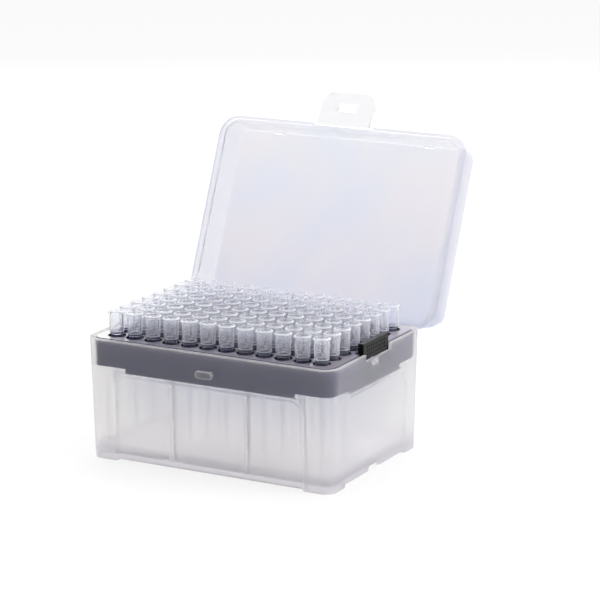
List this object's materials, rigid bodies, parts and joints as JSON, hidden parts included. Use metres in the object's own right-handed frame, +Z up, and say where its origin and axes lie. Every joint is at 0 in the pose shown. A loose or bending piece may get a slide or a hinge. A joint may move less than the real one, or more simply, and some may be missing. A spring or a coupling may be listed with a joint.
{
  "type": "box of pipette tips",
  "caption": "Hinged plastic box that holds a rack of disposable pipette tips, with its clear lid open and its latch flap up.",
  "frame": {"origin": "on the table, under the middle of the base box", "axes": "+X to the end with the rack's release tab, -Y to the latch side, +Y to the hinge side, +Z up"},
  "size_m": [0.1238, 0.1375, 0.1428],
  "materials": {
    "frosted_box": "frosted translucent polypropylene",
    "black_rack": "glossy black polypropylene",
    "clear_lid": "clear glossy polypropylene",
    "clear_tips": "clear glossy polypropylene"
  },
  "bodies": {
    "base": {"base_box": "frosted_box", "rack": "black_rack", "tips_column_01": "clear_tips", "tips_column_02": "clear_tips", "tips_column_03": "clear_tips", "tips_column_04": "clear_tips", "tips_column_05": "clear_tips", "tips_column_06": "clear_tips", "tips_column_07": "clear_tips", "tips_column_08": "clear_tips", "tips_column_09": "clear_tips", "tips_column_10": "clear_tips", "tips_column_11": "clear_tips", "tips_column_12": "clear_tips"},
    "lid": {"lid": "clear_lid"},
    "latch": {"lid_latch": "clear_lid"},
    "release_tab": {"rack_release_tab": "black_rack"}
  },
  "joints": [
    {"name": "lid_hinge", "type": "hinge", "parent": "base", "child": "lid", "pos_m": [0, 0.0443, 0.0501], "axis": [1, 0, 0], "range_deg": [0, 113.4]},
    {"name": "latch_hinge", "type": "hinge", "parent": "lid", "child": "latch", "pos_m": [0, 0.08138, 0.1295], "axis": [1, 0, 0], "range_deg": [0, 101]},
    {"name": "release_tab_flex", "type": "hinge", "parent": "base", "child": "release_tab", "pos_m": [0.057, 0, 0.0417], "axis": [0, -1, 0], "range_deg": [0, 6], "stiffness_Nm_per_rad": 0.05}
  ]
}
